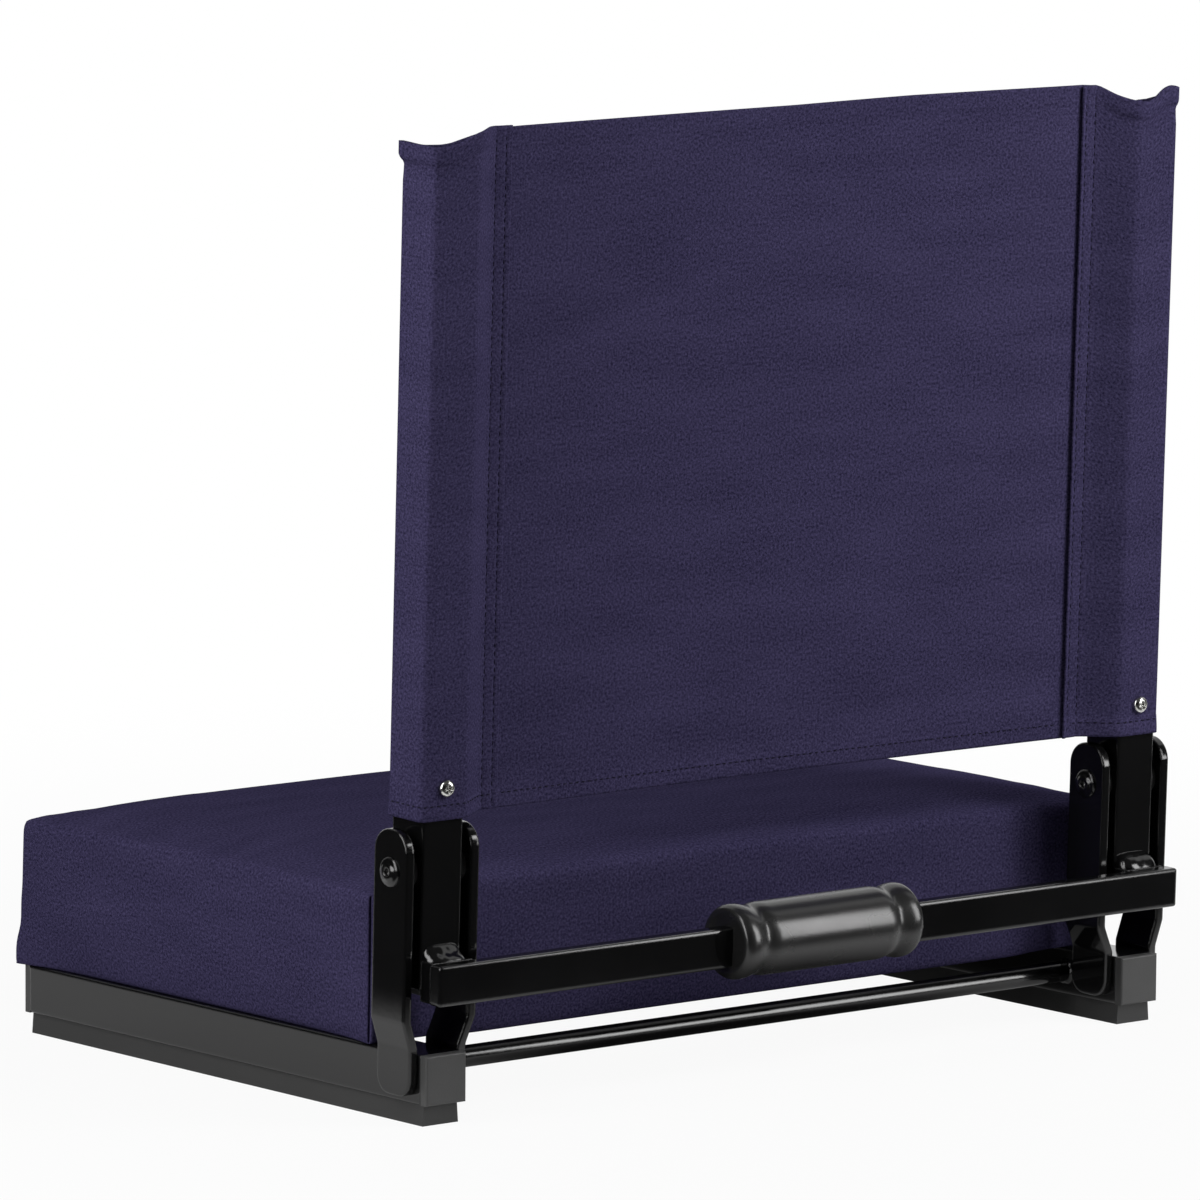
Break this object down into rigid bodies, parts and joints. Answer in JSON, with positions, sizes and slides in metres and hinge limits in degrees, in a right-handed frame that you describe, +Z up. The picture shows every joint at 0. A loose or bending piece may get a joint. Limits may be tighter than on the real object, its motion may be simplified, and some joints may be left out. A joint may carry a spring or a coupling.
{
  "type": "stadium seat",
  "caption": "Folding stadium seat: padded cushion on square-tube rails, cloth back on posts that fold forward on riveted hinge plates, and a carrying grip behind.",
  "frame": {"origin": "on the floor, under the middle of the whole seat as it stands open", "axes": "+Z up, the sitter faces -Y, the back and its grip are at +Y, +X is the sitter's left"},
  "size_m": [0.4542, 0.3212, 0.4363],
  "materials": {
    "frame_steel": "gloss",
    "cap_plastic": "satin",
    "bearing_plastic": "satin",
    "foot_rubber": "matte",
    "grip_plastic": "satin",
    "screw_metal": "polished",
    "seat_cloth": "matte",
    "dust_cloth": "matte",
    "foam": "matte",
    "plywood": "matte"
  },
  "bodies": {
    "base": {"left_rail": "frame_steel", "right_rail": "frame_steel", "left_rail_rear_cap": "cap_plastic", "right_rail_rear_cap": "cap_plastic", "left_rail_front_cap": "cap_plastic", "right_rail_front_cap": "cap_plastic", "left_foot_strip": "foot_rubber", "right_foot_strip": "foot_rubber", "left_outer_hinge_plate": "frame_steel", "right_outer_hinge_plate": "frame_steel", "left_inner_hinge_plate": "frame_steel", "right_inner_hinge_plate": "frame_steel", "left_pivot_rivet": "frame_steel", "right_pivot_rivet": "frame_steel", "left_pivot_washers": "bearing_plastic", "right_pivot_washers": "bearing_plastic", "rear_cross_rod": "frame_steel", "front_cross_rod": "frame_steel", "seat_screws": "screw_metal", "seat_board": "plywood", "dust_cover": "dust_cloth", "seat_foam": "foam", "seat_cover": "seat_cloth"},
    "back": {"left_post": "frame_steel", "right_post": "frame_steel", "left_post_top_plug": "cap_plastic", "right_post_top_plug": "cap_plastic", "left_post_bottom_plug": "cap_plastic", "right_post_bottom_plug": "cap_plastic", "left_pivot_bush": "bearing_plastic", "right_pivot_bush": "bearing_plastic", "left_handle_spacer": "frame_steel", "right_handle_spacer": "frame_steel", "left_weld_bead": "frame_steel", "right_weld_bead": "frame_steel", "crossbar": "frame_steel", "handle_grip": "grip_plastic", "back_cloth": "seat_cloth", "sleeve_screws": "screw_metal"}
  },
  "joints": [
    {"name": "back_fold", "type": "hinge", "parent": "base", "child": "back", "pos_m": [0, 0.12122, 0.1122], "axis": [1, 0, 0], "range_deg": [-8, 87]}
  ]
}
